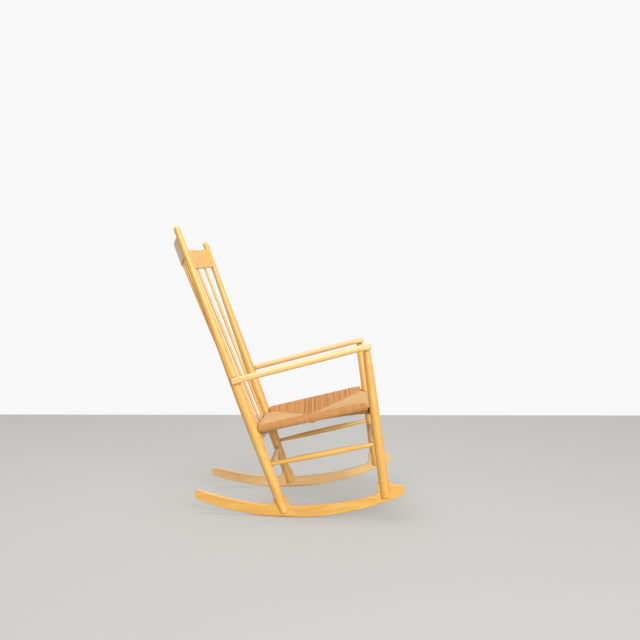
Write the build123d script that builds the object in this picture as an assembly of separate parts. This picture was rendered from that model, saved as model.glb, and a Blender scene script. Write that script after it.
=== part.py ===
from build123d import *
import os
from math import atan2, cos, degrees, radians, sin, sqrt, tan

# Rocking chair of turned wood: two rear posts, two front posts, two rockers, two arms,
# a bent crest rail and a bent spindle rail with spindles between them, four seat rails
# with a woven cord seat around them, and four stretchers. Everything is glued together,
# so nothing moves against anything else: the whole chair rolls on its rockers.
#
# While it is drawn, the origin lies on the floor, midway between the points where the two
# rockers touch it. +X is to the sitter's left, the front faces -Y and +Z is up. At the end
# the chair is moved so that the origin is the centre of the underside of its bounding box.
# All sizes are in millimetres.

# ---------------------------------------------------------------- driving dimensions
FIT = 0.05                    # radial clearance of every glued tenon, slot and dowel

# Rear posts
REAR_HEIGHT = 1065.0          # top of the posts above the floor
REAR_LEAN = radians(20.25)    # backward lean
REAR_FLOOR_HALF = 228.0       # half distance between the two axes at floor level
REAR_SPLAY = 0.0708           # outward travel of each axis per unit of height
REAR_FOOT_D = 33.5
REAR_SEAT_D = 41.4            # thickest, at and just above the seat rails
REAR_ARM_D = 38.5
REAR_CREST_D = 24.5
REAR_TOP_D = 23.0
REAR_DOME = 9.0               # height of the rounded top
REAR_SEAT_AT = 300.0          # distances along the axis from the foot end
REAR_SEAT_LONG = 0.6          # part of the way from there to the arm that stays as thick
REAR_ARM_AT = 560.0
REAR_CREST_DOWN = 195.0       # distance along the axis from the top

# Front posts
FRONT_LEAN = radians(7.55)
FRONT_FLOOR_Y = -375.5        # where the axis would meet the floor
FRONT_FLOOR_HALF = 271.7
FRONT_SPLAY = 0.0396
FRONT_FOOT_D = 36.5
FRONT_SEAT_D = 34.8
FRONT_UPPER_D = 31.0
FRONT_NECK_D = 25.5           # at the underside of the arm
FRONT_SEAT_FROM = 200.0       # of even thickness, by distances along the axis from the foot
FRONT_SEAT_TO = 318.0
FRONT_UPPER_AT = 485.0

# Rockers
ROCKER_RADIUS = 1040.0        # bottom edge, which rolls on the floor
ROCKER_THINNING = 120.0       # the top edge's radius is larger by this, so the ends are thinner
ROCKER_DEPTH = 42.0           # height of the board above its lowest point
ROCKER_THICK = 15.0
ROCKER_REAR = 341.0           # reach of the heel and of the toe from the lowest point
ROCKER_FRONT = 439.0
ROCKER_LOWEST_Y = 4.0         # under the chair's centre of mass, so that it stands level
ROCKER_BEVEL = 1.8            # bevel of the long edges
HEEL_R = 15.0
TOE_R = 18.0
TOE_DEPTH = 33.8              # height of the toe's end above the bottom edge
FOOT_LIFT = 18.0              # foot ends stay this far above the bottom edge
SLOT_DEPTH = 54.5             # forked foot, measured along the post
EAR_MARGIN = 7.5              # how far the shoulder of the board stands out past the foot
EAR_R = 22.0                  # hollow curve between the shoulder and the board
BACK_EAR_R = 12.0             # the same behind the rear post, which leans over the board
TOE_EAR_R = 3.0               # the same where the shoulder meets the raised toe

# Arms
ARM_REAR_HEIGHT = 505.0       # height of the centre line at the rear posts
ARM_SLOPE = radians(14.6)     # rise towards the front
ARM_ROLL = radians(3.0)       # sideways tilt: the inner edge lies lower
ARM_THICK = 21.0
ARM_REAR_W = 30.0
ARM_FRONT_W = 46.0
ARM_EDGE_R = 5.0
ARM_TIP_R = 13.0
ARM_LEVEL_LONG = 94.0         # length of the front end that bends down towards level
ARM_LEVEL_R = 550.0           # radius of that bend, at the middle of the thickness
ARM_HOUSING = 5.0             # depth of the hollow that takes the rear post
ARM_PAST_REAR = 5.0           # overhang behind the rear post's axis
ARM_PAST_FRONT = 18.0         # overhang in front of the front post's axis
ARM_TENON_D = 16.0
ARM_TENON_LONG = 14.0
DOWEL_D = 8.0
DOWEL_AHEAD = 9.0             # dowel centre in front of the rear post's axis
DOWEL_IN_POST = 20.0
DOWEL_IN_ARM = 13.0

# Back
CREST_DOWN = 110.0            # lower edge below the tops of the posts, where it meets them
CREST_WIDE = 82.0             # measured along the posts
CREST_THICK = 16.0
CREST_BOW = 63.0              # depth of the bend
CREST_TENON_THICK = 8.0
CREST_TENON_WIDE = 58.0
LOW_RAIL_LOW = 246.0
LOW_RAIL_WIDE = 42.0
LOW_RAIL_THICK = 18.0
LOW_RAIL_BOW = 24.0
LOW_RAIL_TENON_THICK = 9.0
LOW_RAIL_TENON_WIDE = 28.0
BOARD_BEVEL = 2.2             # bevel of the long edges of both boards
BOARD_TENON_PAST = 4.0        # board tenons end this far beyond the post's axis
SPINDLES = 7
SPINDLE_END_D = 10.0
SPINDLE_D = 12.8
SPINDLE_TENON = 22.0          # length inside each rail
SPINDLE_SWELL_AT = 0.42       # thickest point, as a part of the length from below

# Seat rails and stretchers
ROD_PAST_AXIS = 3.0           # rod tenons end this far beyond the post's axis
SIDE_RAIL_REAR = 322.7        # heights of the rail axes at the post axes
SIDE_RAIL_FRONT = 420.4
REAR_RAIL_DROP = 18.0         # rear and front rail axes below the side rail axes
REAR_RAIL_AHEAD = 9.0         # rear rail axis in front of the post axes, clear of the spindles
FRONT_RAIL_DROP = 30.0
RAIL_END_D = 15.0
RAIL_D = 24.0
RAIL_PLAIN = 24.0             # plain tenon at each end, before the taper
RAIL_TAPER = 60.0
SIDE_STRETCHER_REAR = 193.0
SIDE_STRETCHER_FRONT = 280.6
REAR_STRETCHER_DROP = 25.0
FRONT_STRETCHER_DROP = 22.0
STRETCHER_END_D = 14.0
STRETCHER_D = 21.5
STRETCHER_PLAIN = 24.0
STRETCHER_SWELL_AT = 0.36     # full thickness from here to the same distance from the other end

# Woven seat
CORD = 3.6                    # thickness of the cord around the rails
CORD_GAP = 0.15               # play between cord and rail
WOOD_SHOWN = 6.0              # bare end of each rail beside the post
SEAT_CENTRE_TOP = 346.0       # top of the weave at its lowest point
SEAT_CENTRE_THICK = 17.0
SEAT_CENTRE_Y = -92.0
SEAT_CORNER_IN = 0.08         # start of the diagonals, as a part of the way to the centre


# ---------------------------------------------------------------- lines of the frame
def rear_axis(height, side):
    """Point of a rear post's axis at a height; side is +1 for the left, -1 for the right."""
    half = REAR_FLOOR_HALF + REAR_SPLAY * height
    return Vector(side * half, tan(REAR_LEAN) * height, height)


def front_axis(height, side):
    """Point of a front post's axis at a height."""
    half = FRONT_FLOOR_HALF + FRONT_SPLAY * height
    return Vector(side * half, FRONT_FLOOR_Y + tan(FRONT_LEAN) * height, height)


def arc_rise(along, radius):
    """Height gained by an arc of a circle over its lowest point."""
    return radius - sqrt(radius ** 2 - along ** 2)


ROCKER_TOP_RADIUS = ROCKER_RADIUS + ROCKER_THINNING
TOE_HEIGHT = arc_rise(ROCKER_FRONT, ROCKER_RADIUS) + TOE_DEPTH


def foot_height(axis):
    """Height of a foot end: FOOT_LIFT above the bottom edge of the rocker."""
    height = FOOT_LIFT
    for _ in range(4):
        height = FOOT_LIFT + arc_rise(axis(height, 1).Y - ROCKER_LOWEST_Y, ROCKER_RADIUS)
    return height


REAR_FOOT = foot_height(rear_axis)
FRONT_FOOT = foot_height(front_axis)


def arm_line(along, side):
    """Point of an arm's centre line, at a distance in front of the rear post's axis."""
    rear = rear_axis(ARM_REAR_HEIGHT, side)
    outside = REAR_ARM_D / 2 - ARM_HOUSING + ARM_REAR_W / 2
    start = Vector(rear.X + side * outside, rear.Y, rear.Z)
    front = front_axis(ARM_REAR_HEIGHT, side)
    reach = start.Y - front.Y
    drift = (front_axis(ARM_REAR_HEIGHT + reach * tan(ARM_SLOPE), side).X - start.X) / reach
    return start + Vector(drift, -1, tan(ARM_SLOPE)) * (along * cos(ARM_SLOPE))


def arm_plane(side):
    """Plane of an arm, with its Y axis along the arm and its normal upward."""
    start = arm_line(0, side)
    along = (arm_line(100, side) - start).normalized()
    across = Vector(-1, 0, 0) - along * along.dot(Vector(-1, 0, 0))
    across = across.normalized()
    across = across * cos(ARM_ROLL) - across.cross(along) * (side * sin(ARM_ROLL))
    return Plane(origin=start, x_dir=across, z_dir=across.cross(along))


def arm_side(side, low, high):
    """Side view of an arm between two heights about its centre line: straight, then bent."""
    front = arm_reach(side) + ARM_PAST_FRONT
    bend_at = front - ARM_LEVEL_LONG
    centre = -ARM_LEVEL_R
    turn = ARM_LEVEL_LONG / ARM_LEVEL_R

    def on_bend(share, height):
        angle = turn * share
        radius = ARM_LEVEL_R + height
        return bend_at + radius * sin(angle), centre + radius * cos(angle)

    rear = -ARM_PAST_REAR
    outline = Polyline((bend_at, low), (rear, low), (rear, high), (bend_at, high))
    outline += ThreePointArc((bend_at, high), on_bend(0.5, high), on_bend(1, high))
    outline += Line(on_bend(1, high), on_bend(1, low))
    outline += ThreePointArc(on_bend(1, low), on_bend(0.5, low), (bend_at, low))
    return make_face(Plane.YZ * outline)


def arm_reach(side):
    """Distance along the arm from the rear post's axis to the front post's axis."""
    rise = cos(FRONT_LEAN) * cos(ARM_SLOPE) + sin(FRONT_LEAN) * sin(ARM_SLOPE)
    level = arm_line(0, side).Y - front_axis(ARM_REAR_HEIGHT, side).Y
    return level * cos(FRONT_LEAN) / rise


def back_plane(height):
    """Plane across the back at a post height: X to the left, Y backward, Z up the posts."""
    centre = Vector(0, tan(REAR_LEAN) * height, height)
    return Plane(origin=centre, x_dir=(1, 0, 0), z_dir=(0, sin(REAR_LEAN), cos(REAR_LEAN)))


# ---------------------------------------------------------------- turned work
def post_blank(start, end, stations, grow=0.0, dome=0.0):
    """Turned post, tapering evenly between (distance, diameter) stations.

    grow enlarges it all over, for the hole that it fits. dome is the height of the part of
    a ball that rounds its far end.
    """
    points = [(diameter / 2 + grow, distance) for distance, diameter in stations]
    points[0] = (points[0][0], -grow)
    last = points[-1]
    outline = Polyline((0, -grow), *points)
    if dome:
        ball = (last[0] ** 2 + dome ** 2) / (2 * dome)
        half_way = atan2(last[0], ball - dome) / 2
        crown = (ball * sin(half_way), last[1] + dome - ball * (1 - cos(half_way)))
        outline += ThreePointArc(last, crown, (0, last[1] + dome))
    else:
        outline += Line(last, (0, last[1]))
    outline += Line((0, last[1] + dome), (0, -grow))
    solid = revolve(make_face(Plane.XZ * outline), Axis.Z)
    return Plane(origin=start, z_dir=(end - start)) * solid


def tenon_ends(first, second):
    """Ends of a rod between two post axes: its tenons run ROD_PAST_AXIS beyond the axes."""
    along = (second - first).normalized() * ROD_PAST_AXIS
    return first - along, second + along


def stretcher(first, second, grow=0.0):
    """Turned stretcher between two post axes, swelling gently to its middle."""
    start, end = tenon_ends(first, second)
    length = (end - start).length
    edge = STRETCHER_END_D / 2 + grow
    middle = STRETCHER_D / 2 + grow
    swell = length * STRETCHER_SWELL_AT
    outline = Polyline((0, -grow), (edge, -grow), (edge, STRETCHER_PLAIN), (middle, swell),
                       (middle, length - swell), (edge, length - STRETCHER_PLAIN),
                       (edge, length + grow), (0, length + grow), close=True)
    solid = revolve(make_face(Plane.XZ * outline), Axis.Z)
    return Plane(origin=start, z_dir=(end - start)) * solid


def rail(first, second, grow=0.0):
    """Turned seat rail between two post axes, tapered down to its tenons at both ends."""
    start, end = tenon_ends(first, second)
    length = (end - start).length
    edge = RAIL_END_D / 2 + grow
    middle = RAIL_D / 2 + grow
    inner = RAIL_PLAIN + RAIL_TAPER
    outline = Polyline((0, -grow), (edge, -grow), (edge, RAIL_PLAIN), (middle, inner),
                       (middle, length - inner), (edge, length - RAIL_PLAIN),
                       (edge, length + grow), (0, length + grow), close=True)
    solid = revolve(make_face(Plane.XZ * outline), Axis.Z)
    return Plane(origin=start, z_dir=(end - start)) * solid


def rear_post_blank(side, grow=0.0):
    """Rear post before its mortises are cut: foot, swelling at the seat, slender top."""
    start = rear_axis(REAR_FOOT, side)
    end = rear_axis(REAR_HEIGHT, side)
    length = (end - start).length
    middle = REAR_SEAT_AT + (REAR_ARM_AT - REAR_SEAT_AT) * REAR_SEAT_LONG
    shape = [(0, REAR_FOOT_D), (REAR_SEAT_AT, REAR_SEAT_D), (middle, REAR_SEAT_D),
             (REAR_ARM_AT, REAR_ARM_D), (length - REAR_CREST_DOWN, REAR_CREST_D),
             (length - REAR_DOME, REAR_TOP_D)]
    return post_blank(start, end, shape, grow, REAR_DOME)


def front_post_top(side):
    """Point where a front post's axis meets the underside of the arm, near enough."""
    past_bend = ARM_LEVEL_LONG - ARM_PAST_FRONT
    sink = ARM_LEVEL_R - sqrt(ARM_LEVEL_R ** 2 - past_bend ** 2)
    surface = arm_plane(side).offset(-ARM_THICK / 2 - sink)
    low = front_axis(FRONT_FOOT, side)
    along = (front_axis(FRONT_FOOT + 100, side) - low).normalized()
    reach = (surface.origin - low).dot(surface.z_dir) / along.dot(surface.z_dir)
    return low + along * reach


def front_post_blank(side, grow=0.0):
    """Front post before its mortises are cut, trimmed to the slope of the arm."""
    start = front_axis(FRONT_FOOT, side)
    shoulder = front_post_top(side)
    length = (shoulder - start).length
    along = (shoulder - start).normalized()
    shape = [(0, FRONT_FOOT_D), (FRONT_SEAT_FROM, FRONT_SEAT_D), (FRONT_SEAT_TO, FRONT_SEAT_D),
             (FRONT_UPPER_AT, FRONT_UPPER_D), (length + 12, FRONT_NECK_D)]
    blank = post_blank(start, shoulder + along * 12, shape, grow)
    above = extrude(arm_side(side, -ARM_THICK / 2 - FIT, ARM_THICK * 2), FRONT_SEAT_D, both=True)
    return blank - arm_plane(side) * above


def front_tenon(side, grow=0.0):
    """Round tenon on top of a front post, which stands in the arm."""
    shoulder = front_post_top(side)
    along = (shoulder - front_axis(FRONT_FOOT, side)).normalized()
    length = ARM_TENON_LONG + 8 + grow
    start = Plane(origin=shoulder - along * 8, z_dir=along)
    return start * Pos(0, 0, length / 2) * Cylinder(ARM_TENON_D / 2 + grow, length)


# ---------------------------------------------------------------- rockers
def rocker_plane(side):
    """Upright plane of a rocker board, through the middle of both forked feet."""
    rear = rear_axis(REAR_FOOT + SLOT_DEPTH * cos(REAR_LEAN) / 2, side)
    front = front_axis(FRONT_FOOT + SLOT_DEPTH * cos(FRONT_LEAN) / 2, side)
    along = Vector(front.X - rear.X, front.Y - rear.Y, 0).normalized()
    lowest = rear + along * ((ROCKER_LOWEST_Y - rear.Y) / along.Y)
    return Plane(origin=(lowest.X, lowest.Y, 0), x_dir=along, z_dir=along.cross(Vector(0, 0, 1)))


def foot_in_plane(axis, foot, side):
    """Foot end and direction of a post, seen in the rocker's plane."""
    plane = rocker_plane(side)
    low = plane.to_local_coords(axis(foot, side))
    high = plane.to_local_coords(axis(foot + 100, side))
    return Vector(low.X, low.Y), Vector(high.X - low.X, high.Y - low.Y).normalized()


def along_post(axis, foot, side, distance):
    """Place and turn in the rocker's plane at a distance up a post from its foot end."""
    low, up = foot_in_plane(axis, foot, side)
    spot = low + up * distance
    return Pos(spot.X, spot.Y) * Rot(0, 0, degrees(atan2(-up.X, up.Y)))


def shoulder_block(axis, foot, foot_d, side):
    """Raised shoulder of the board at a post: its top fills the root of the fork."""
    height = SLOT_DEPTH - FIT
    block = Rectangle(foot_d + 2 * EAR_MARGIN, height)
    return along_post(axis, foot, side, height / 2) * block


def rocker_outline(side):
    """Side view of a rocker: a band between two arcs, two shoulders and a raised toe."""
    below = Pos(0, ROCKER_RADIUS) * Circle(ROCKER_RADIUS)
    above = Pos(0, ROCKER_DEPTH + ROCKER_TOP_RADIUS) * Circle(ROCKER_TOP_RADIUS)
    middle = (ROCKER_FRONT - ROCKER_REAR) / 2
    window = Pos(middle, 150) * Rectangle(ROCKER_FRONT + ROCKER_REAR, 300)
    band = (below - above) & window
    front_low, front_up = foot_in_plane(front_axis, FRONT_FOOT, side)
    toe_long = ROCKER_FRONT - front_low.X
    toe = Pos(front_low.X + toe_long / 2, TOE_HEIGHT / 2) * Rectangle(toe_long, TOE_HEIGHT)
    rear_block = shoulder_block(rear_axis, REAR_FOOT, REAR_FOOT_D, side)
    front_block = shoulder_block(front_axis, FRONT_FOOT, FRONT_FOOT_D, side)
    return band + (toe & below) + (rear_block & below) + (front_block & below)


def ease(board, chosen, radius):
    """Round the upright edges of a board that stand at the chosen places."""
    edges = [edge for edge in board.edges().filter_by(Axis.Z) if chosen(edge.center())]
    return fillet(edges, radius) if edges else board


def rocker(side):
    """Rocker board: hollow curves at its shoulders, round ends and eased long edges."""
    top_centre = Vector(0, ROCKER_DEPTH + ROCKER_TOP_RADIUS)

    rear_foot = foot_in_plane(rear_axis, REAR_FOOT, side)[0]

    def at_shoulder(spot):
        inside = abs(spot.X + ROCKER_REAR) > 0.01 and abs(spot.X - ROCKER_FRONT) > 0.01
        return inside and abs((spot - top_centre).length - ROCKER_TOP_RADIUS) < 0.01

    def behind_rear_post(spot):
        return at_shoulder(spot) and spot.X < rear_foot.X - REAR_FOOT_D / 2

    def elsewhere(spot):
        return at_shoulder(spot) and not spot.X < rear_foot.X - REAR_FOOT_D / 2

    def at_toe_notch(spot):
        return abs(spot.Y - TOE_HEIGHT) < 0.01 and spot.X < ROCKER_FRONT - 0.01

    def at_heel(spot):
        return abs(spot.X + ROCKER_REAR) < 0.01

    def at_toe(spot):
        return abs(spot.X - ROCKER_FRONT) < 0.01

    board = extrude(rocker_outline(side), ROCKER_THICK / 2, both=True)
    board = ease(board, elsewhere, EAR_R)
    board = ease(board, behind_rear_post, BACK_EAR_R)
    board = ease(board, at_toe_notch, TOE_EAR_R)
    board = ease(board, at_heel, HEEL_R)
    board = ease(board, at_toe, TOE_R)
    board = chamfer(board.faces().filter_by(Axis.Z).edges(), ROCKER_BEVEL)
    return rocker_plane(side) * board


def fork_slot(axis, foot, foot_d, side):
    """Slot of a forked foot: as wide as the board and closed by the board's shoulder."""
    height = SLOT_DEPTH + 20
    cut = Box(foot_d * 2, height, ROCKER_THICK + 2 * FIT)
    return rocker_plane(side) * along_post(axis, foot, side, SLOT_DEPTH - height / 2) * cut


# ---------------------------------------------------------------- bent boards of the back
def bend(height, bow):
    """Radius of a bent board's centre line and the half distance of the post axes."""
    half = REAR_FLOOR_HALF + REAR_SPLAY * height
    return (half ** 2 + bow ** 2) / (2 * bow), half


def bent_board(low, wide, thick, bow, reach, grow=0.0):
    """Board bent to a circle: low edge height, width, thickness, bow and half length."""
    middle = low + wide * cos(REAR_LEAN) / 2
    radius, half = bend(middle, bow)
    ring = Circle(radius + thick / 2 + grow) - Circle(radius - thick / 2 - grow)
    ring = Pos(0, bow - radius) * ring
    window = Pos(0, bow) * Rectangle(2 * (half + reach + grow), 300)
    board = extrude(ring & window, wide / 2 + grow, both=True)
    return back_plane(middle) * board


def back_board(low, wide, thick, bow, tenon_wide, tenon_thick):
    """Bent board shouldered against both rear posts, with a tenon into each."""
    board = bent_board(low, wide, thick, bow, 0)
    board = chamfer(board.edges().filter_by(GeomType.CIRCLE), BOARD_BEVEL)
    for side in (1, -1):
        board -= rear_post_blank(side, FIT)
    board = board.solids().sort_by(SortBy.VOLUME)[-1]
    return board + board_tenon(low, wide, bow, tenon_wide, tenon_thick)


def board_tenon(low, wide, bow, tenon_wide, tenon_thick, grow=0.0):
    """Inner part of a bent board that runs on into both posts as its tenons."""
    tenon_low = low + (wide - tenon_wide) * cos(REAR_LEAN) / 2
    return bent_board(tenon_low, tenon_wide, tenon_thick, bow, BOARD_TENON_PAST, grow)


CREST_LOW = REAR_HEIGHT - CREST_DOWN
CREST = (CREST_LOW, CREST_WIDE, CREST_THICK, CREST_BOW, CREST_TENON_WIDE, CREST_TENON_THICK)
LOW_RAIL = (LOW_RAIL_LOW, LOW_RAIL_WIDE, LOW_RAIL_THICK, LOW_RAIL_BOW,
            LOW_RAIL_TENON_WIDE, LOW_RAIL_TENON_THICK)


def bow_point(board, share, up):
    """Point on a bent board's centre surface, at a share of the way to the post axis."""
    low, wide, thick, bow = board[:4]
    middle = low + wide * cos(REAR_LEAN) / 2
    radius, half = bend(middle, bow)
    across = share * half
    depth = bow - radius + sqrt(radius ** 2 - across ** 2)
    plane = back_plane(middle)
    return plane.from_local_coords(Vector(across, depth, up * wide / 2))


def spindle(number, grow=0.0):
    """Spindle from the spindle rail to the crest rail, thickest below the middle."""
    share = (2 * number / (SPINDLES + 1)) - 1
    low = bow_point(LOW_RAIL, share, 1)
    high = bow_point(CREST, share, -1)
    along = (high - low).normalized()
    start = low - along * SPINDLE_TENON
    end = high + along * SPINDLE_TENON
    length = (end - start).length
    edge = SPINDLE_END_D / 2 + grow
    low_edge = (edge, SPINDLE_TENON)
    high_edge = (edge, length - SPINDLE_TENON)
    thickest = (SPINDLE_D / 2 + grow, length * SPINDLE_SWELL_AT)
    outline = (Polyline(low_edge, (edge, -grow), (0, -grow), (0, length + grow),
                        (edge, length + grow), high_edge)
               + Spline(high_edge, thickest, low_edge))
    solid = revolve(make_face(Plane.XZ * outline), Axis.Z)
    return Plane(origin=start, z_dir=(end - start)) * solid


# ---------------------------------------------------------------- rails and stretchers
def cross_rods():
    """Every seat rail and stretcher: name, its two axis points, and what makes it."""
    rods = []
    for side, name in ((1, "left"), (-1, "right")):
        rods.append(("seat_rail_" + name, rear_axis(SIDE_RAIL_REAR, side),
                     front_axis(SIDE_RAIL_FRONT, side), rail))
        rods.append(("side_stretcher_" + name, rear_axis(SIDE_STRETCHER_REAR, side),
                     front_axis(SIDE_STRETCHER_FRONT, side), stretcher))
    rear_rail = SIDE_RAIL_REAR - REAR_RAIL_DROP
    front_rail = SIDE_RAIL_FRONT - FRONT_RAIL_DROP
    rear_low = SIDE_STRETCHER_REAR - REAR_STRETCHER_DROP
    front_low = SIDE_STRETCHER_FRONT - FRONT_STRETCHER_DROP
    ahead = Vector(0, -REAR_RAIL_AHEAD, 0)
    rods.append(("seat_rail_rear", rear_axis(rear_rail, 1) + ahead,
                 rear_axis(rear_rail, -1) + ahead, rail))
    rods.append(("seat_rail_front", front_axis(front_rail, 1), front_axis(front_rail, -1), rail))
    rods.append(("rear_stretcher", rear_axis(rear_low, 1), rear_axis(rear_low, -1), stretcher))
    rods.append(("front_stretcher", front_axis(front_low, 1), front_axis(front_low, -1), stretcher))
    return rods


def rods_into(end, side):
    """Rails and stretchers whose tenons enter one rear or front post."""
    beside = "left" if side > 0 else "right"
    return [rod[1:] for rod in cross_rods() if end in rod[0] or beside in rod[0]]


# ---------------------------------------------------------------- arms
def arm_dowel(side, grow=0.0):
    """Dowel that pins the arm to the outside of the rear post."""
    rear = rear_axis(ARM_REAR_HEIGHT, side)
    touch = rear.X + side * (REAR_ARM_D / 2 - ARM_HOUSING)
    inner = touch - side * (DOWEL_IN_POST + grow)
    outer = touch + side * (DOWEL_IN_ARM + grow)
    rise = DOWEL_AHEAD * tan(ARM_SLOPE)
    start = Vector(inner, rear.Y - DOWEL_AHEAD, rear.Z + rise)
    pin = Cylinder(DOWEL_D / 2 + grow, abs(outer - inner))
    return Plane(origin=start, z_dir=(side, 0, 0)) * Pos(0, 0, abs(outer - inner) / 2) * pin


def arm(side):
    """Arm: widening to its front end, which bends down level; hollowed for the rear post."""
    rear = -ARM_PAST_REAR
    front = arm_reach(side) + ARM_PAST_FRONT
    corners = [(-ARM_REAR_W / 2, rear), (ARM_REAR_W / 2, rear),
               (ARM_FRONT_W / 2, front), (-ARM_FRONT_W / 2, front)]
    plan = make_face(Polyline(*corners, close=True))
    plan = fillet(plan.vertices().sort_by(Axis.Y)[-2:], ARM_TIP_R)
    plank = extrude(plan, ARM_THICK * 4, both=True)
    blank = extrude(arm_side(side, -ARM_THICK / 2, ARM_THICK / 2), ARM_FRONT_W, both=True) & plank

    def on_rim(edge):
        run, place = edge.tangent_at(0.5), edge.center().Y
        crossing = abs(run.X) > 0.9 and place < front - ARM_TIP_R
        return place > rear + 0.01 and abs(run.Z) < 0.9 and not crossing

    blank = fillet([edge for edge in blank.edges() if on_rim(edge)], ARM_EDGE_R)
    blank = arm_plane(side) * blank
    return blank - rear_post_blank(side, FIT) - front_tenon(side, FIT) - arm_dowel(side, FIT)


# ---------------------------------------------------------------- posts with their joints
def rear_post(side):
    """Rear post with its fork, rod mortises, board mortises and dowel hole."""
    post = rear_post_blank(side)
    post -= fork_slot(rear_axis, REAR_FOOT, REAR_FOOT_D, side)
    for first, second, make in rods_into("rear", side):
        post -= make(first, second, FIT)
    for low, wide, thick, bow, tenon_wide, tenon_thick in (CREST, LOW_RAIL):
        post -= board_tenon(low, wide, bow, tenon_wide, tenon_thick, FIT)
    return post - arm_dowel(side, FIT)


def front_post(side):
    """Front post with its fork and rod mortises, and the round tenon for the arm."""
    post = front_post_blank(side) + front_tenon(side)
    post -= fork_slot(front_axis, FRONT_FOOT, FRONT_FOOT_D, side)
    for first, second, make in rods_into("front", side):
        post -= make(first, second, FIT)
    return post


# ---------------------------------------------------------------- woven seat
def seat_ring(rails, over):
    """Start and end of each rail's wrapping, at the height of its top or its underside."""
    lift = Vector(0, 0, over * (RAIL_END_D / 2 + CORD))
    ring = []
    for name in ("left", "front", "right", "rear"):
        first, second = rails["seat_rail_" + name]
        if name in ("right", "rear"):
            first, second = second, first
        inward = (second - first).normalized() * REAR_SEAT_D / 2
        ring.append((first + inward + lift, second - inward + lift))
    return ring


def seat_corners(ring, centre, drop):
    """Where the diagonals of the weave begin: between two rails, and a little further in."""
    corners = []
    for i in range(4):
        between = (ring[i][1] + ring[(i + 1) % 4][0]) * 0.5
        corners.append(between + (centre - between) * SEAT_CORNER_IN - Vector(0, 0, drop))
    return corners


def seat_surface(ring, corners, centre):
    """Triangles of one face of the seat, counter-clockwise seen from above."""
    triangles = []
    for i in range(4):
        first, second = ring[i]
        here = corners[i]
        before = corners[i - 1]
        triangles.append((first, second, centre))
        triangles.append((before, first, centre))
        triangles.append((second, here, centre))
        triangles.append((second, ring[(i + 1) % 4][0], here))
    return triangles


def seat_panel(rails):
    """Two layers of cord, which slope from the rails to the lowest point of the weave."""
    centre = Vector(0, SEAT_CENTRE_Y, SEAT_CENTRE_TOP)
    low_centre = centre - Vector(0, 0, SEAT_CENTRE_THICK)
    ring = seat_ring(rails, 1)
    low_ring = seat_ring(rails, -1)
    corners = seat_corners(ring, centre, 0)
    low_corners = seat_corners(ring, centre, SEAT_CENTRE_THICK)
    triangles = seat_surface(ring, corners, centre)
    triangles += [(a, c, b) for a, b, c in seat_surface(low_ring, low_corners, low_centre)]
    edge = [point for pair in ring for point in pair]
    low_edge = [point for pair in low_ring for point in pair]
    for i in range(len(edge)):
        j = (i + 1) % len(edge)
        triangles.append((low_edge[i], low_edge[j], edge[j]))
        triangles.append((low_edge[i], edge[j], edge[i]))
    faces = [Face(Wire.make_polygon(corners, close=True)) for corners in triangles]
    return Solid(Shell(faces))


def woven_seat():
    """Cord wound round the four rails and stretched between them in two layers."""
    rails = {rod[0]: rod[1:3] for rod in cross_rods() if rod[0].startswith("seat")}
    seat = seat_panel(rails)
    for first, second in rails.values():
        seat += rail(first, second, CORD)
    for first, second in rails.values():
        seat -= rail(first, second, CORD_GAP)
    for side in (1, -1):
        seat -= rear_post_blank(side, WOOD_SHOWN)
        seat -= front_post_blank(side, WOOD_SHOWN)
    return seat.solids().sort_by(SortBy.VOLUME)[-1]


# ---------------------------------------------------------------- the whole chair
def chair():
    """Every piece of the chair by name."""
    pieces = {}
    for side, name in ((1, "left"), (-1, "right")):
        pieces["rear_post_" + name] = rear_post(side)
        pieces["front_post_" + name] = front_post(side)
        pieces["rocker_" + name] = rocker(side)
        pieces["arm_" + name] = arm(side)
        pieces["arm_dowel_" + name] = arm_dowel(side)
    crest = back_board(*CREST)
    low_rail = back_board(*LOW_RAIL)
    for number in range(1, SPINDLES + 1):
        pieces["spindle_" + str(number)] = spindle(number)
        hole = spindle(number, FIT)
        crest -= hole
        low_rail -= hole
    pieces["crest_rail"] = crest
    pieces["spindle_rail"] = low_rail
    for name, first, second, make in cross_rods():
        pieces[name] = make(first, second)
    pieces["woven_seat"] = woven_seat()
    return pieces


def centred(pieces):
    """The pieces, moved so that the origin is the centre of the bounding box's underside."""
    boxes = [piece.bounding_box() for piece in pieces.values()]
    low_y = min(box.min.Y for box in boxes)
    high_y = max(box.max.Y for box in boxes)
    low_z = min(box.min.Z for box in boxes)
    move = Pos(0, -(low_y + high_y) / 2, -low_z)
    return {name: move * piece for name, piece in pieces.items()}


os.makedirs("parts", exist_ok=True)
for node, piece in centred(chair()).items():
    piece.label = node
    export_step(piece, "parts/" + node + ".step")
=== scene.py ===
import math

import bpy
import numpy as np
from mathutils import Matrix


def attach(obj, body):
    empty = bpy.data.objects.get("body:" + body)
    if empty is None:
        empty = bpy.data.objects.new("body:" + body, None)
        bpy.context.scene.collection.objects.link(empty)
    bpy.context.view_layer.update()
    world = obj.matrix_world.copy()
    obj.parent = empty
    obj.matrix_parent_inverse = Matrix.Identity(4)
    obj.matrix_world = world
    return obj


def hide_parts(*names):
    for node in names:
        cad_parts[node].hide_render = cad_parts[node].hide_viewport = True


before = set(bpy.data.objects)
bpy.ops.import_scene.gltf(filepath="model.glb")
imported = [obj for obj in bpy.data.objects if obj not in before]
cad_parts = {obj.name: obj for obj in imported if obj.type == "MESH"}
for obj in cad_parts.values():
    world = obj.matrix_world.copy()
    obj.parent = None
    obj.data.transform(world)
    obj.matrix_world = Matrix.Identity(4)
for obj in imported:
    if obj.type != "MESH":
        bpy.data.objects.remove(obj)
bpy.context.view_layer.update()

FULL_TURN = 2 * math.pi
QUARTER_TURN = math.pi / 2
UP = np.array([0.0, 0.0, 1.0])
MIRROR = np.array([-1, 1, 1])      # carries a point of the left side over to the right
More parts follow.
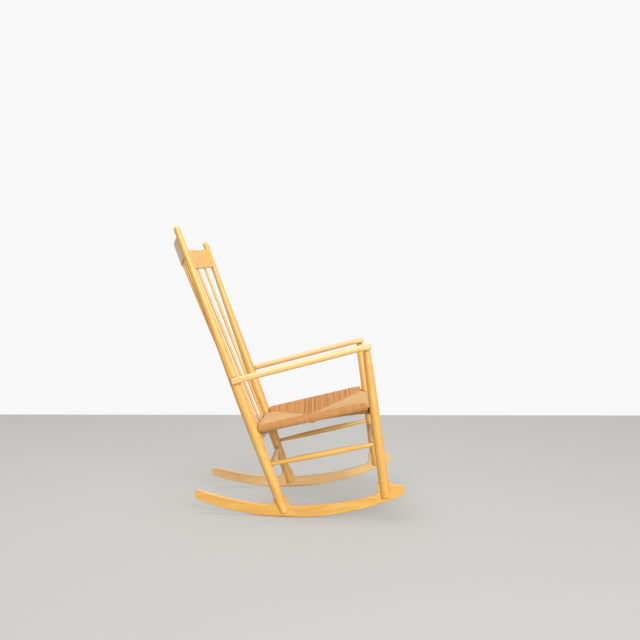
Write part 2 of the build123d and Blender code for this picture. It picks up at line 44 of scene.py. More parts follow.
END_FACE = 1e-4                    # corners this near to a rod's end belong to its end face

# ---------------------------------------------------------------- the seat, in metres
CORD_WIDE = 0.0037         # width of one cord, side by side with the next
CORD_THICK = 0.0035        # and its thickness where it lies on a rail
CORD_PITCH = 0.0038        # from one cord to the next
CORD_SIDES = 6             # corners round a cord
CORD_RUN = (0.0, 0.06, 0.2, 0.42, 0.68, 0.88)   # places along a straight run, as shares of it
CORD_BEND_STEPS = 10       # places round the rail
CORD_DIP = 0.0032          # at the diagonal a cord turns into the seat by this much,
CORD_DIP_SHARE = 0.06      # over this share of its run
CORD_SHIFT = 0.00022       # how uneven the cords lie along their rail,
CORD_SWAY = 0.0006         # how far they bow sideways
CORD_LIFT = 0.00035        # and how far up or down
LOOP_R = 0.012             # radius that a loop goes round in the middle of a rail
LOOP_END_R = 0.0075        # and at its ends
LOOP_EVEN = 0.010          # from a rail's end face to where the loops start to grow
LOOP_TAPER = 0.035         # length over which they grow to the full radius
SEAT_FRONT_CORNER = (0.2660, -0.3058, 0.4085)   # outer ends of the left side's two diagonals
SEAT_REAR_CORNER = (0.2250, 0.0885, 0.3235)
SEAT_MIDDLE_Y = -0.087     # where the four sections of the weave meet
SEAT_MIDDLE_TOP = 0.337    # height of the upper layer there
SEAT_MIDDLE_THICK = 0.015  # and the lower layer's depth below it
BRIDGE_HALF = 0.045        # half the length over which front and rear cords meet directly
PACKING_THICK = 0.0016
PACKING_SHARE = 0.055      # how far along the rails from their ends the packing's corners lie
KNOT_LONG = 0.0029         # size factors of the knot: along the rail,
KNOT_WIDE = 0.0020         # across it
KNOT_THICK = 0.0016        # and up and down
KNOT_CORD = 0.0030         # thickness of its cord
KNOT_STEPS = 40            # places along it

# tones of the cords, from 0, dark, to 1, pale, and how much they differ from cord to cord
LONG_LIT_TONE = 0.74           # painted light: the front-to-rear cords are paler, as lit, the side ones darker, as painted shade
SIDE_SHADED_TONE = 0.34
LONG_UNEVEN = 0.12
LEFT_UNEVEN = 0.13
RIGHT_UNEVEN = 0.07

# ---------------------------------------------------------------- the arms, in metres
ARM_REAR = (0.2930, 0.1793, 0.5050)     # left arm's centre line at the rear post's axis
ARM_FRONT = (0.2967, -0.2990, 0.6296)   # and at the front post's axis
ARM_THICK = 0.0233
ARM_REAR_W = 0.030         # width at the rear end
ARM_FRONT_W = 0.046        # and at the tip
ARM_PAST_REAR = 0.005      # how far the arm goes on past the rear post's axis
ARM_PAST_FRONT = 0.018     # and past the front post's
ARM_LEVEL_LONG = 0.055     # the tip bends down towards level over this length,
ARM_LEVEL_R = 0.420        # round this radius
ARM_TIP_R = 0.013          # radius of the tip's corners in plan
ARM_END_R = 0.004          # length over which both ends are softened
ARM_HEEL = 0.80            # thickness of the rear end face, as a share of the arm's
ARM_NOSE = 0.68            # and of the front end face
ARM_ROUND = 2.35           # power of the rounded section along the middle
ARM_SQUARE = 4.0           # and at the ends, where it is squarer,
ARM_SQUARE_REAR = 0.07     # over this length at the rear
ARM_SQUARE_FRONT = 0.05    # and at the tip
ARM_MIDDLE_FROM = 0.020    # the long even stretch starts this far from the rear end,
ARM_MIDDLE_TO = 0.035      # ends this far from the tip
ARM_MIDDLE_RINGS = 60      # and has this many sections
ARM_TIP_LONG = 0.030       # stretch at the tip with sections that draw closer together
ARM_TIP_RINGS = 14
ARM_END_RINGS = 7          # sections round the rear end's softened edge
ARM_SIDES = 32             # corners round a section

# ---------------------------------------------------------------- finishes
WOOD_LIGHT = (0.900, 0.545, 0.130)      # between the growth rings
WOOD_WARM = (0.800, 0.405, 0.062)       # growth rings and streaks
WOOD_DEEP = (0.520, 0.230, 0.040)       # pores
WOOD_PAINTED_PALE = (0.93, 0.74, 0.47)          # pale tone mixed in as painted light: a painted highlight on the arms and painted light on the far rocker
WOOD_DULL = (0.94, 0.88, 0.80)          # large faint patches
CORNER_SHADE_DARK = (0.36, 0.20, 0.10)         # painted shade in the corners where pieces meet, with some oil and dust,
CORNER_SHADE_REACH = 0.011                     # up to this far from the corner
CORNER_SHADE_SAMPLES = 8
WOOD_ROUGH = (0.44, 0.54)               # roughness between dark and pale streaks
WOOD_COAT = {"Coat Weight": 0.9, "Coat Roughness": 0.42, "Coat IOR": 1.62,
             "Specular IOR Level": 0.35}
RELIEF_DEPTH = 0.0006                   # of pores and plies, in metres
BOARD_SEED = 5             # of the tones of the boards
BOARD_TONES = (0.94, 1.05)
BOARD_STEP = (0.37, 0.11, 0.23)         # each board shows the next place in the pattern
ARM_BOARD = 30             # numbers of the arms' boards lie next to this one
ARM_PAINTED_HIGHLIGHT = 0.28            # how far the arms are paled towards that pale tone, as a painted highlight
PAINTED_LIGHT_PIECES = {"rocker_left": 0.30}            # and the far rocker, paled as painted light

# colours along the tone: the stop near 0.35 is the side sections' painted shade, the upper stops
# the front and rear sections' painted light
CORD_COLOURS = [(0.0, (0.500, 0.225, 0.062)), (0.35, (0.790, 0.400, 0.140)),
                (0.75, (0.655, 0.415, 0.200)), (1.0, (0.760, 0.520, 0.290))]
CORD_GROOVE_SHADE = (0.45, 0.38, 0.32)        # painted shade between the plies
CORD_FIBRE = (0.72, 0.66, 0.58)
CORD_PLIES = 3
CORD_PLY_RATE = 170        # plies that pass in a metre of cord
PAPER_DARK = (0.22, 0.105, 0.040)
PAPER_PALE = (0.36, 0.19, 0.08)
WHITE = (1, 1, 1)

# ---------------------------------------------------------------- floor, wall, light and camera
WALL_X = 2.37              # place of the wall, behind the chair
STAGE_HALF = 9             # half the width of floor and wall
WALL_HIGH = 6
FLOOR_COLOUR = (0.46, 0.462, 0.455)
FLOOR_SEEN = (0.70, 0.690, 0.660)
FLOOR_SEEN_SHARE = 0.5     # the rest keeps the chair's shadow
WALL_COLOUR = (0.80, 0.80, 0.80)
WALL_SEEN = (0.94, 0.94, 0.94)
ROOM_COLOUR = (1.0, 0.86, 0.70)         # warm light that the room sends back
ROOM_SEEN = (1.55, 1.55, 1.50)
ROOM_STRENGTH = 0.33
LAMP_COLOUR = (0.965, 0.985, 1.0)
LAMP_TARGET = (0, 0, 0.4)
CAMERA_PLACE = (-2.8685, -0.164, 0.755)
CAMERA_TURN = -90 + 0.68   # degrees about Z: square to the chair's side but for a little
CAMERA_LENS = 40.2         # millimetres
CAMERA_SENSOR = 36
CAMERA_SHIFT = -0.0125


# ---------------------------------------------------------------- helpers for surfaces
def vertices(name):
    """All corners of a carried-over piece, as rows of x, y and z."""
    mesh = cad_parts[name].data
    flat = np.empty(len(mesh.vertices) * 3)
    mesh.vertices.foreach_get("co", flat)
    return flat.reshape(-1, 3)


def long_axis(points):
    """Direction in which a set of points spreads furthest, and their middle."""
    middle = points.mean(axis=0)
    spread = np.linalg.svd(points - middle, full_matrices=False)[2]
    return spread[0], middle


def rod_ends(name):
    """Middle points of the two end faces of a straight rod."""
    points = vertices(name)
    direction, middle = long_axis(points)
    along = (points - middle) @ direction
    first = points[along < along.min() + END_FACE].mean(axis=0)
    last = points[along > along.max() - END_FACE].mean(axis=0)
    return first, last


def unit(vectors):
    """Vectors divided by their lengths."""
    return vectors / np.linalg.norm(vectors, axis=-1, keepdims=True)


def inside_out(points, quads):
    """Whether quads face inwards: the volumes between them and the origin sum to less than none."""
    a, b, c, d = (points[quads[:, i]] for i in range(4))
    return np.sum(np.cross(a, b) * c) + np.sum(np.cross(a, c) * d) < 0


def linked(name, data):
    """A mesh, lamp or camera put into the scene."""
    piece = bpy.data.objects.new(name, data)
    bpy.context.scene.collection.objects.link(piece)
    return piece


def closed_cords(name, paths, across, tones, wide, thick):
    """Closed loops of cord.

    paths has one row of points per cord, and the last point of a row joins its first. A corner of
    the surface is the path's point, plus half the width times the cosine of the angle round the
    cord along the direction across it, plus half the thickness times the sine of that angle along
    the direction square to both. The UV map counts the share of a turn round the cord and the
    metres along it, and each face carries its cord's tone.
    """
    sides = CORD_SIDES
    count, stations, _ = paths.shape
    ahead = unit(np.roll(paths, -1, axis=1) - np.roll(paths, 1, axis=1))
    side = unit(across - np.sum(across * ahead, axis=-1, keepdims=True) * ahead)
    over = np.cross(ahead, side)
    angle = np.arange(sides) / sides * FULL_TURN + FULL_TURN / sides / 2
    points = (
        paths[:, :, None, :]
        + wide / 2 * np.cos(angle)[None, None, :, None] * side[:, :, None, :]
        + thick / 2 * np.sin(angle)[None, None, :, None] * over[:, :, None, :]
    ).reshape(-1, 3)
    i, j, k = np.meshgrid(np.arange(count), np.arange(stations), np.arange(sides), indexing="ij")

    def corner(dj, dk):
        """Number of a corner, some steps along the cord and round it."""
        return (i * stations + (j + dj) % stations) * sides + (k + dk) % sides

    quads = np.stack([corner(0, 0), corner(1, 0), corner(1, 1), corner(0, 1)], axis=-1)
    quads = quads.reshape(-1, 4)
    step = np.linalg.norm(np.roll(paths, -1, axis=1) - paths, axis=-1)
    run = np.concatenate([np.zeros((count, 1)), np.cumsum(step, axis=1)], axis=1)

    def place(dj, dk):
        """Its place on the UV map."""
        return np.stack([(k + dk) / sides, run[i, j + dj]], axis=-1)

    uv = np.stack([place(0, 0), place(1, 0), place(1, 1), place(0, 1)], axis=-2).reshape(-1, 4, 2)
    if inside_out(points, quads):
        quads, uv = quads[:, ::-1], uv[:, ::-1]
    mesh = bpy.data.meshes.new(name)
    mesh.from_pydata(points, [], quads)
    mesh.shade_smooth()
    layer = mesh.uv_layers.new(name="along_cord")
    layer.data.foreach_set("uv", uv.astype(np.float32).ravel())
    attribute = mesh.attributes.new("tone", "FLOAT", "FACE")
    shade = np.broadcast_to(tones[:, None, None], i.shape)
    attribute.data.foreach_set("value", shade.ravel().astype(np.float32))
    return linked(name, mesh)


# ---------------------------------------------------------------- the woven seat
def as_seat(piece):
    """Lets a piece stand for the seat: hangs it under the root and hides the carried-over seat."""
    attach(piece, "root")
    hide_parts("woven_seat")
    return piece


def loop_radius(distance, length):
    """Radius of a loop at a distance along its rail: even at the ends, then a straight taper."""
    from_end = np.minimum(distance, length - distance)
    grow = np.clip((from_end - LOOP_EVEN) / LOOP_TAPER, 0, 1)
    return LOOP_END_R + (LOOP_R - LOOP_END_R) * grow


def wander(chance, count, size, smooth):
    """Small shifts from cord to cord: random numbers averaged over some neighbours."""
    raw = chance.normal(size=count + 2 * smooth)
    window = np.hanning(2 * smooth + 1)
    mean = np.convolve(raw, window, "valid") / np.sqrt(np.sum(window**2))
    return size * mean[:count]


def section(where, inward, diagonal, seed, tone, uneven):
    """The cords that go over one rail, each from the diagonal, round the rail and back below it.

    The loop of a cord is a straight run on top, half a circle round the rail's outer side and a
    straight run below. On top it ends on the diagonal of the weave, whose place is found where a
    line from the rail, straight inward, meets the line through the diagonal's four points: a
    corner, the two ends of the bridge and the other corner. A run bows by four times the product of
    its two shares, times the cord's own sway and lift.
    """
    chance = np.random.default_rng(seed)
    first, last = rod_ends("seat_rail_" + where)
    length = np.linalg.norm(last - first)
    along = (last - first) / length
    inward = np.array(inward)

    def reach(point):
        """How far along the rail a point lies, seen from above."""
        return (point - first)[:2] @ along[:2] / (along[:2] @ along[:2])

    low, high = sorted((reach(diagonal[0]), reach(diagonal[-1])))
    count = int((high - low) / CORD_PITCH)
    at = low + (np.arange(count) + 0.5) * (high - low) / count
    at = at + wander(chance, count, CORD_SHIFT, 1)
    centre = first + at[:, None] * along
    radius = loop_radius(at, length) + CORD_THICK / 2

    crosswise = np.array([-inward[1], inward[0]])
    line = np.array(diagonal)
    line = line[np.argsort(line[:, :2] @ crosswise, kind="stable")]
    spots = line[:, :2] @ crosswise
    depth = (line[:, :2] - first[:2]) @ inward[:2]
    place = centre[:, :2] @ crosswise
    distance = np.interp(place, spots, depth) - (centre - first)[:, :2] @ inward[:2]
    meeting = centre + distance[:, None] * inward
    meeting[:, 2] = np.interp(place, spots, line[:, 2])
    below = meeting - UP * SEAT_MIDDLE_THICK

    up = unit(np.cross(along, inward))
    up = up * np.sign(up[2])
    outward = unit(np.cross(up, along))
    outward = outward * -np.sign(outward @ inward)
    sway = wander(chance, count, CORD_SWAY, 2)[:, None] * along
    lift = wander(chance, count, CORD_LIFT, 1)[:, None] * up

    def on_run(share, inner, outer, bow, dip):
        """Points of all cords at a share of the straight line from the diagonal to the rail."""
        turn_in = dip * max(0.0, 1 - share / CORD_DIP_SHARE)
        return inner + share * (outer - inner) + 4 * share * (1 - share) * bow + turn_in * up

    top = centre + radius[:, None] * up
    bottom = centre - radius[:, None] * up
    stations = [on_run(share, meeting, top, lift + sway, -CORD_DIP) for share in CORD_RUN]
    stations += [centre + radius[:, None] * (math.cos(step) * up + math.sin(step) * outward)
                 for step in np.linspace(0, math.pi, CORD_BEND_STEPS)]
    stations += [on_run(share, below, bottom, lift - sway, CORD_DIP)
                 for share in reversed(CORD_RUN)]
    paths = np.stack(stations, axis=1)
    across = np.broadcast_to(along, paths.shape)
    # each cord's tone: its section's painted light (front and rear) or painted shade (sides), plus
    # its own unevenness
    tones = np.clip(tone + wander(chance, count, uneven, 1), 0, 1)
    return as_seat(closed_cords(
        "seat_cords_" + where, paths, across, tones, CORD_WIDE, CORD_THICK))


def packing():
    """Dark packing between the two layers: a thin closed sheet from rail to rail.

    It has two points on each rail's axis and two at the ends of the bridge. Its upper and its lower
    face are those points moved up and down by half its thickness.
    """
    def on_rail(where, axis, sign):
        """Of the two points near a rail's ends, the one further out along an axis."""
        first, last = rod_ends("seat_rail_" + where)
        spots = [first + share * (last - first) for share in (PACKING_SHARE, 1 - PACKING_SHARE)]
        return max(spots, key=lambda spot: sign * spot[axis])

    rim = [on_rail("front", 0, 1), on_rail("left", 1, -1), on_rail("left", 1, 1),
           on_rail("rear", 0, 1), on_rail("rear", 0, -1), on_rail("right", 1, 1),
           on_rail("right", 1, -1), on_rail("front", 0, -1)]
    middle_z = SEAT_MIDDLE_TOP - SEAT_MIDDLE_THICK / 2
    bridge = [np.array([sign * BRIDGE_HALF, SEAT_MIDDLE_Y, middle_z]) for sign in (1, -1)]
    flat = np.array(rim + bridge)
    count, edge = len(flat), len(rim)
    left, right = edge, edge + 1
    above = [(0, 1, left), (1, 2, left), (2, 3, left), (3, 4, right, left), (4, 5, right),
             (5, 6, right), (6, 7, right), (7, 0, left, right)]
    half = UP * PACKING_THICK / 2
    points = np.concatenate([flat + half, flat - half])
    faces = above + [tuple(corner + count for corner in reversed(face)) for face in above]
    faces += [(i, i + count, (i + 1) % edge + count, (i + 1) % edge) for i in range(edge)]
    mesh = bpy.data.meshes.new("seat_packing")
    mesh.from_pydata(points, [], faces)
    return as_seat(linked("seat_packing", mesh))


def knot():
    """The knot that ends the cord, under the middle of the right side rail.

    It is a trefoil: going round once, its place is the sine of the angle plus twice the sine of
    double the angle, the cosine less twice the cosine of double the angle, and the sine of three
    times the angle, each times its own size.
    """
    first, last = rod_ends("seat_rail_right")
    along = unit(last - first)
    sideways = unit(np.cross(along, UP))
    upward = np.cross(sideways, along)
    centre = (first + last) / 2 - (LOOP_R + CORD_THICK + KNOT_THICK) * UP
    angle = np.linspace(0, FULL_TURN, KNOT_STEPS, endpoint=False)[:, None]
    path = (centre
            + KNOT_LONG * (np.sin(angle) + 2 * np.sin(2 * angle)) * along
            + KNOT_WIDE * (np.cos(angle) - 2 * np.cos(2 * angle)) * sideways
            + KNOT_THICK * np.sin(3 * angle) * upward)
    outward = unit(path - centre)
    return as_seat(closed_cords(
        "cord_knot", path[None], outward[None], np.array([SIDE_SHADED_TONE]), KNOT_CORD, KNOT_CORD))


def woven_seat():
    """Four sections of cord that meet along the diagonals and along a short bridge.

    With them go the packing between their two layers, and the knot.
    """
    front_left = np.array(SEAT_FRONT_CORNER)
    rear_left = np.array(SEAT_REAR_CORNER)
    middle_left = np.array([BRIDGE_HALF, SEAT_MIDDLE_Y, SEAT_MIDDLE_TOP])
    front_right, rear_right, middle_right = (
        point * MIRROR for point in (front_left, rear_left, middle_left))
    cord = twisted_cord("twisted_cord")
    pieces = [
        section("front", (0.0, 1.0, 0.0), (front_left, middle_left, middle_right, front_right),
                seed=11, tone=LONG_LIT_TONE, uneven=LONG_UNEVEN),
        section("rear", (0.0, -1.0, 0.0), (rear_left, middle_left, middle_right, rear_right),
                seed=12, tone=LONG_LIT_TONE, uneven=LONG_UNEVEN),
        section("left", (-1.0, 0.0, 0.0), (front_left, middle_left, middle_left, rear_left),
                seed=13, tone=SIDE_SHADED_TONE, uneven=LEFT_UNEVEN),
        section("right", (1.0, 0.0, 0.0), (front_right, middle_right, middle_right, rear_right),
                seed=14, tone=SIDE_SHADED_TONE, uneven=RIGHT_UNEVEN),
    ]
    sheet = packing()
    pieces.append(knot())
    for piece in pieces:
        piece.data.materials.append(cord)
    sheet.data.materials.append(brown_paper("packing_paper"))


# ---------------------------------------------------------------- the arms
def lofted(name, rings):
    """A closed piece through rings of corners, with a flat face over the first and the last."""
    count, sides, _ = rings.shape
    i, k = np.meshgrid(np.arange(count - 1), np.arange(sides), indexing="ij")
    after = (k + 1) % sides
    quads = np.stack(
        [i * sides + k, (i + 1) * sides + k, (i + 1) * sides + after, i * sides + after], axis=-1)
    quads = quads.reshape(-1, 4)
    points = rings.reshape(-1, 3)
    first = tuple(range(sides))
    last = tuple((count - 1) * sides + n for n in reversed(range(sides)))
    faces = [tuple(quad) for quad in quads.tolist()] + [first, last]
    if inside_out(points, quads):
        faces = [face[::-1] for face in faces]
    mesh = bpy.data.meshes.new(name)
    mesh.from_pydata(points, [], faces)
    mesh.shade_smooth()
    return linked(name, mesh)


def rounded_oblong(width, thick, power):
    """Corners of oblong sections, one row each, as distances sideways and up.

    They are half the width times the cosine and half the thickness times the sine of an angle,
    each raised to two over the power with its sign kept. A power of 2 gives an ellipse, and a
    higher one comes nearer to a rectangle.
    """
    turn = np.linspace(0, FULL_TURN, ARM_SIDES, endpoint=False)
    raised = (2 / power)[:, None]
    sideways = width[:, None] / 2 * np.sign(np.cos(turn)) * np.abs(np.cos(turn)) ** raised
    upwards = thick[:, None] / 2 * np.sign(np.sin(turn)) * np.abs(np.sin(turn)) ** raised
    return sideways, upwards


def shaped_arm(name, node, side):
    """An arm as a spokeshave leaves it, and the direction of its grain.

    It is rounded all along and squarer at its two ends. A rounded oblong is carried along a
    straight line and then along an arc that bends down. Its thickness grows from the heel's by the
    sine of a quarter turn, and falls to the nose's by the cube of the way into the end. Its width
    grows evenly, less a quarter circle at each of the tip's corners.
    """
    rear = np.array(ARM_REAR) * (side, 1, 1)
    front = np.array(ARM_FRONT) * (side, 1, 1)
    reach = np.linalg.norm(front - rear)
    along = (front - rear) / reach
    across = unit(np.array([-1.0, 0, 0]) + along * along[0])
    normal = np.cross(across, along)
    low, high = -ARM_PAST_REAR, reach + ARM_PAST_FRONT

    soft = np.linspace(0, QUARTER_TURN, ARM_END_RINGS)
    close = np.linspace(0, QUARTER_TURN, ARM_TIP_RINGS)
    at = np.concatenate([
        low + ARM_END_R * (1 - np.cos(soft)),
        np.linspace(low + ARM_MIDDLE_FROM, high - ARM_MIDDLE_TO, ARM_MIDDLE_RINGS),
        high - ARM_TIP_LONG + ARM_TIP_LONG * np.sin(close),
    ])
    into_corner = np.clip((at - (high - ARM_TIP_R)) / ARM_TIP_R, 0, 1)
    corner = 1 - np.sqrt(np.clip(1 - into_corner**2, 0, 1))
    width = (ARM_REAR_W + (ARM_FRONT_W - ARM_REAR_W) * (at - low) / (high - low)
             - 2 * ARM_TIP_R * corner)
    heel = np.ones(len(at))
    heel[:ARM_END_RINGS] = ARM_HEEL + (1 - ARM_HEEL) * np.sin(soft)
    nose = 1 - (1 - ARM_NOSE) * np.clip((at - (high - ARM_END_R)) / ARM_END_R, 0, 1) ** 3
    near_end = (np.clip(1 - (at - low) / ARM_SQUARE_REAR, 0, 1)
                + np.clip(1 - (high - at) / ARM_SQUARE_FRONT, 0, 1))
    power = ARM_ROUND + (ARM_SQUARE - ARM_ROUND) * near_end
    sideways, upwards = rounded_oblong(width, ARM_THICK * heel * nose, power)

    angle = np.maximum(at - (high - ARM_LEVEL_LONG), 0) / ARM_LEVEL_R
    forward = np.minimum(at, high - ARM_LEVEL_LONG) + ARM_LEVEL_R * np.sin(angle)
    drop = ARM_LEVEL_R * (1 - np.cos(angle))
    centre = rear + forward[:, None] * along - drop[:, None] * normal
    up = np.cos(angle)[:, None] * normal + np.sin(angle)[:, None] * along
    rings = (centre[:, None, :] + sideways[..., None] * across
             + upwards[..., None] * up[:, None, :])
    piece = lofted(name, rings)
    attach(piece, "root")
    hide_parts(node)
    return piece, along


def arms():
    """Both arms, each from its own board, paled towards a pale tone as a painted highlight."""
    for side, name in ((1, "left"), (-1, "right")):
        arm, grain = shaped_arm("shaped_arm_" + name, "arm_" + name, side)
        wood = oiled_wood("oiled_wood_shaped_arm_" + name, grain, ARM_BOARD + side, painted_light=ARM_PAINTED_HIGHLIGHT)
        arm.data.materials.append(wood)


# ---------------------------------------------------------------- helpers for finishes
def new_material(name):
    """A material, its node tree, and its main shader, which is joined to the output."""
    material = bpy.data.materials.new(name)
    material.use_nodes = True
    return material, material.node_tree, material.node_tree.nodes["Principled BSDF"]


def set_values(made, values):
    """Sets a node's sockets by their names."""
    for socket, value in values.items():
        made.inputs[socket].default_value = value


def object_place(tree):
    """A point's place on the piece, in metres."""
    return tree.nodes.new("ShaderNodeTexCoord").outputs["Object"]


def noise(tree, place, scale, detail=2, rough=0.5, twist=0.0):
    """An uneven value over a place, with blots about a metre divided by the scale across."""
    made = tree.nodes.new("ShaderNodeTexNoise")
    set_values(made, {"Scale": scale, "Detail": detail, "Roughness": rough, "Distortion": twist})
    tree.links.new(place, made.inputs["Vector"])
    return made.outputs["Fac"]


def maths(tree, kind, first, second=0.0):
    """A Math node on two values, each a number or an output."""
    made = tree.nodes.new("ShaderNodeMath")
    made.operation = kind
    for socket, value in zip(made.inputs, (first, second)):
        if isinstance(value, (int, float)):
            socket.default_value = value
        else:
            tree.links.new(value, socket)
    return made.outputs["Value"]


def ramp(tree, source, stops):
    """A colour ramp on a value, from positions and colours."""
    made = tree.nodes.new("ShaderNodeValToRGB")
    elements = made.color_ramp.elements
    while len(elements) < len(stops):
        elements.new(0.5)
    for element, (position, colour) in zip(elements, stops):
        element.position = position
        element.color = (*colour, 1)
    tree.links.new(source, made.inputs["Fac"])
    return made.outputs["Color"]


def mix(tree, blend, factor, first, second):
    """Two colours mixed. The factor and each colour are numbers or an output."""
    made = tree.nodes.new("ShaderNodeMix")
    made.data_type = "RGBA"
    made.blend_type = blend
    if isinstance(factor, (int, float)):
        made.inputs[0].default_value = factor
    else:
        tree.links.new(factor, made.inputs[0])
    for socket, value in ((made.inputs[6], first), (made.inputs[7], second)):
        if isinstance(value, tuple):
            socket.default_value = (*value, 1)
        else:
            tree.links.new(value, socket)
    return made.outputs[2]


def relief(tree, shader, height, strength):
    """A fine relief on a shader, from a height value."""
    bump = tree.nodes.new("ShaderNodeBump")
    set_values(bump, {"Strength": strength, "Distance": RELIEF_DEPTH})
    tree.links.new(height, bump.inputs["Height"])
    tree.links.new(bump.outputs["Normal"], shader.inputs["Normal"])


def painted_corner_shade(tree):
    """Painted shade, with some oil and dust, where pieces meet: a darker tone in the corners from
    ambient occlusion, up to a reach away.
    """
    corner = tree.nodes.new("ShaderNodeAmbientOcclusion")
    corner.samples = CORNER_SHADE_SAMPLES
    corner.inputs["Distance"].default_value = CORNER_SHADE_REACH
    return ramp(tree, corner.outputs["AO"], [(0.42, CORNER_SHADE_DARK), (0.88, WHITE)])


def turned(direction):
    """Turn that brings a direction onto the pattern's own Z axis, as three angles."""
    x, y, z = direction if direction[2] >= 0 else -direction
    return (math.atan2(y, z), -math.asin(x), 0.0)


# ---------------------------------------------------------------- finishes
def oiled_wood(name, direction, board, tone=1.0, painted_light=0.0):
    """Pale honey wood with long fine grain, growth rings, short pores and a satin finish, with
    painted shade in the corners where it meets other pieces.

    Each pattern is noise squeezed along the grain: the smaller its third scale, the longer its
    streaks. tone makes the board lighter or darker, and the last argument is how far its colour is
    paled towards a pale tone, as painted light.
    """
    material, tree, shader = new_material(name)
    turn = tree.nodes.new("ShaderNodeMapping")
    set_values(turn, {"Rotation": turned(direction),
                      "Location": [board * step for step in BOARD_STEP]})
    tree.links.new(object_place(tree), turn.inputs["Vector"])

    def along_grain(scale):
        """A point's place on the board, squeezed along the grain."""
        made = tree.nodes.new("ShaderNodeMapping")
        made.inputs["Scale"].default_value = (1, 1, scale)
        tree.links.new(turn.outputs["Vector"], made.inputs["Vector"])
        return made.outputs["Vector"]

    streaks = noise(tree, along_grain(0.035), scale=190, detail=5, rough=0.6, twist=0.15)
    bands = noise(tree, along_grain(0.12), scale=22, detail=3, twist=0.9)
    pores = noise(tree, along_grain(0.06), scale=620)
    patches = noise(tree, along_grain(0.5), scale=9)

    light, warm, deep = (
        tuple(part * tone for part in colour) for colour in (WOOD_LIGHT, WOOD_WARM, WOOD_DEEP))
    in_streaks = ramp(tree, streaks, [(0.44, (0.55, 0.55, 0.55)), (0.62, (0, 0, 0))])
    in_pores = ramp(tree, pores, [(0.33, (0.5, 0.5, 0.5)), (0.40, (0, 0, 0))])
    dull = ramp(tree, patches, [(0.3, WOOD_DULL), (0.7, WHITE)])
    colour = ramp(tree, bands, [(0.30, warm), (0.52, light), (0.60, warm), (0.78, light)])
    colour = mix(tree, "MIX", in_streaks, colour, warm)
    colour = mix(tree, "MIX", in_pores, colour, deep)
    colour = mix(tree, "MULTIPLY", 0.5, colour, dull)
    # painted light: paled towards a pale tone, a painted highlight on the arms and painted light on
    # the far rocker
    colour = mix(tree, "MIX", painted_light, colour, WOOD_PAINTED_PALE)
    # painted shade: darker in the corners where pieces meet
    colour = mix(tree, "MULTIPLY", 1.0, colour, painted_corner_shade(tree))
    tree.links.new(colour, shader.inputs["Base Color"])

    rough = tree.nodes.new("ShaderNodeMapRange")
    set_values(rough, {"To Min": WOOD_ROUGH[0], "To Max": WOOD_ROUGH[1]})
    tree.links.new(streaks, rough.inputs["Value"])
    tree.links.new(rough.outputs["Result"], shader.inputs["Roughness"])
    relief(tree, shader, pores, strength=0.015)
    set_values(shader, WOOD_COAT)
    return material


def twisted_cord(name):
    """Light brown twisted cord: a twist along it with painted shade in the grooves between its
    plies, short fibres, and a tone for each cord, which also paints the light and shade of its
    section.

    A ply's height is the size of the sine of half a turn for each ply, counted from the plies
    round the cord and the metres along it.
    """
    material, tree, shader = new_material(name)
    uv = tree.nodes.new("ShaderNodeUVMap")
    uv.uv_map = "along_cord"
    parts = tree.nodes.new("ShaderNodeSeparateXYZ")
    tree.links.new(uv.outputs["UV"], parts.inputs["Vector"])
    spiral = maths(tree, "ADD", maths(tree, "MULTIPLY", parts.outputs["X"], CORD_PLIES),
                   maths(tree, "MULTIPLY", parts.outputs["Y"], CORD_PLY_RATE))
    ply = maths(tree, "ABSOLUTE", maths(tree, "SINE", maths(tree, "MULTIPLY", spiral, math.pi)))
    tone = tree.nodes.new("ShaderNodeAttribute")
    tone.attribute_name = "tone"
    fibres = noise(tree, object_place(tree), scale=420, detail=3, rough=0.6)

    colour = ramp(tree, tone.outputs["Fac"], CORD_COLOURS)
    # painted shade in the grooves between the plies
    groove_shade = ramp(tree, ply, [(0.0, CORD_GROOVE_SHADE), (0.5, WHITE)])
    on_fibres = ramp(tree, fibres, [(0.35, CORD_FIBRE), (0.6, WHITE)])
    colour = mix(tree, "MULTIPLY", 0.55, colour, groove_shade)
    colour = mix(tree, "MULTIPLY", 0.5, colour, on_fibres)
    tree.links.new(colour, shader.inputs["Base Color"])
    relief(tree, shader, ply, strength=0.5)
    set_values(shader, {"Roughness": 0.72, "Specular IOR Level": 0.3})
    return material


def brown_paper(name):
    """Dark brown paper, as it is stuffed between the layers of such a seat."""
    material, tree, shader = new_material(name)
    creases = noise(tree, object_place(tree), scale=140)
    colour = ramp(tree, creases, [(0.35, PAPER_DARK), (0.65, PAPER_PALE)])
    tree.links.new(colour, shader.inputs["Base Color"])
    shader.inputs["Roughness"].default_value = 0.9
    return material


def finish_wood():
    """Each piece of wood has its own board: the grain follows its length, and its tone differs."""
    tones = np.random.default_rng(BOARD_SEED).uniform(*BOARD_TONES, size=len(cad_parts))
    for number, (name, piece) in enumerate(sorted(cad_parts.items())):
        if name == "woven_seat":
            continue
        direction = long_axis(vertices(name))[0]
        # the far rocker is paled as painted light
        wood = oiled_wood("oiled_wood_" + name, direction, number + 1, float(tones[number]),
                          PAINTED_LIGHT_PIECES.get(name, 0.0))
        if not piece.material_slots:
            piece.data.materials.append(wood)
        for slot in piece.material_slots:
            slot.material = wood


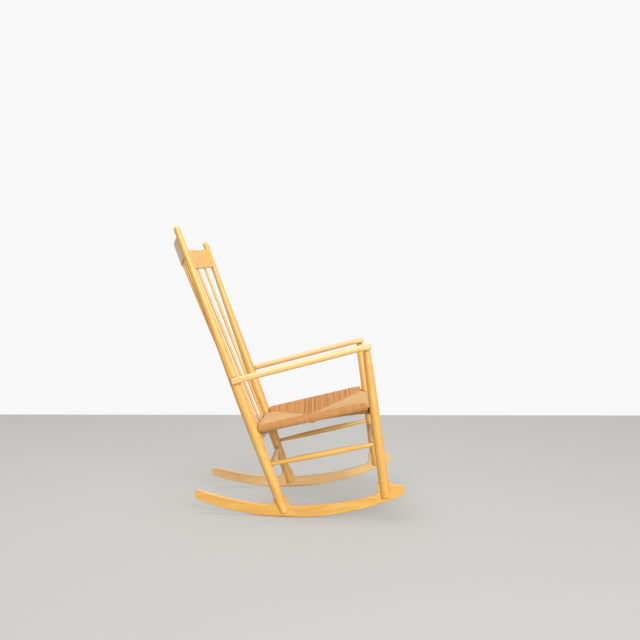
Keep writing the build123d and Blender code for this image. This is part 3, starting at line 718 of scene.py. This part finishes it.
# ---------------------------------------------------------------- floor, wall, light and camera
def plain(name, colour, shown, share=1.0):
    """A plain matt surface with a colour that it shows by itself.

    It shows that colour where it is seen directly, in a reflection or through something clear.
    share is how much of it goes into what is seen, and the rest is the surface as lit.
    """
    material, tree, shader = new_material(name)
    set_values(shader, {"Base Color": (*colour, 1), "Roughness": 0.8})
    material.cycles.emission_sampling = "NONE"
    light = tree.nodes.new("ShaderNodeEmission")
    light.inputs["Color"].default_value = (*shown, 1)
    ray = tree.nodes.new("ShaderNodeLightPath")
    seen = maths(tree, "MAXIMUM", ray.outputs["Is Camera Ray"], ray.outputs["Is Glossy Ray"])
    seen = maths(tree, "MAXIMUM", seen, ray.outputs["Is Transmission Ray"])
    both = tree.nodes.new("ShaderNodeMixShader")
    tree.links.new(maths(tree, "MULTIPLY", seen, share), both.inputs["Fac"])
    tree.links.new(shader.outputs["BSDF"], both.inputs[1])
    tree.links.new(light.outputs["Emission"], both.inputs[2])
    tree.links.new(both.outputs["Shader"], tree.nodes["Material Output"].inputs["Surface"])
    return material


def flat_sheet(name, corners, material):
    """One flat four-cornered face of the surroundings."""
    mesh = bpy.data.meshes.new(name)
    mesh.from_pydata(corners, [], [(0, 1, 2, 3)])
    mesh.materials.append(material)
    linked(name, mesh)


def stage():
    """A pale floor and a white wall behind it."""
    half = STAGE_HALF
    floor = plain("pale_floor", FLOOR_COLOUR, FLOOR_SEEN, FLOOR_SEEN_SHARE)
    flat_sheet("floor", [(-half, -half, 0), (WALL_X, -half, 0), (WALL_X, half, 0),
                         (-half, half, 0)], floor)
    wall = plain("white_wall", WALL_COLOUR, WALL_SEEN)
    flat_sheet("wall", [(WALL_X, -half, 0), (WALL_X, half, 0), (WALL_X, half, WALL_HIGH),
                        (WALL_X, -half, WALL_HIGH)], wall)


def softbox(name, place, size, power):
    """A large square lamp that faces the chair.

    It is tipped by the angle between its line to the chair and straight down, and turned by the
    bearing of that line.
    """
    data = bpy.data.lights.new(name, "AREA")
    data.size = size
    data.energy = power
    data.color = LAMP_COLOUR
    lamp = linked(name, data)
    lamp.location = place
    away = np.array(place) - np.array(LAMP_TARGET)
    lamp.rotation_euler = (
        math.acos(away[2] / np.linalg.norm(away)), 0, math.atan2(away[0], -away[1]))


def lights():
    """Light from a warm room that itself looks pale, one lamp to the side and one above."""
    world = bpy.data.worlds.new("soft_room")
    world.use_nodes = True
    tree = world.node_tree
    ray = tree.nodes.new("ShaderNodeLightPath")
    room = ROOM_COLOUR
    for kind in ("Is Camera Ray", "Is Glossy Ray", "Is Transmission Ray"):
        room = mix(tree, "MIX", ray.outputs[kind], room, ROOM_SEEN)
    tree.links.new(room, tree.nodes["Background"].inputs["Color"])
    tree.nodes["Background"].inputs["Strength"].default_value = ROOM_STRENGTH
    bpy.context.scene.world = world
    softbox("lamp_side", place=(-4.2, -2.0, 2.1), size=2.2, power=212)
    softbox("lamp_above", place=(-0.4, 0.6, 3.4), size=1.4, power=63)


def camera():
    """A level camera on the chair's right side, square to it but for a fraction of a degree."""
    data = bpy.data.cameras.new("camera")
    data.lens = CAMERA_LENS
    data.sensor_width = CAMERA_SENSOR
    data.shift_y = CAMERA_SHIFT
    piece = linked("camera", data)
    piece.location = CAMERA_PLACE
    piece.rotation_euler = (QUARTER_TURN, 0, math.radians(CAMERA_TURN))
    bpy.context.scene.camera = piece


finish_wood()
arms()
woven_seat()
stage()
lights()
camera()
bpy.context.scene.view_settings.view_transform = "Standard"
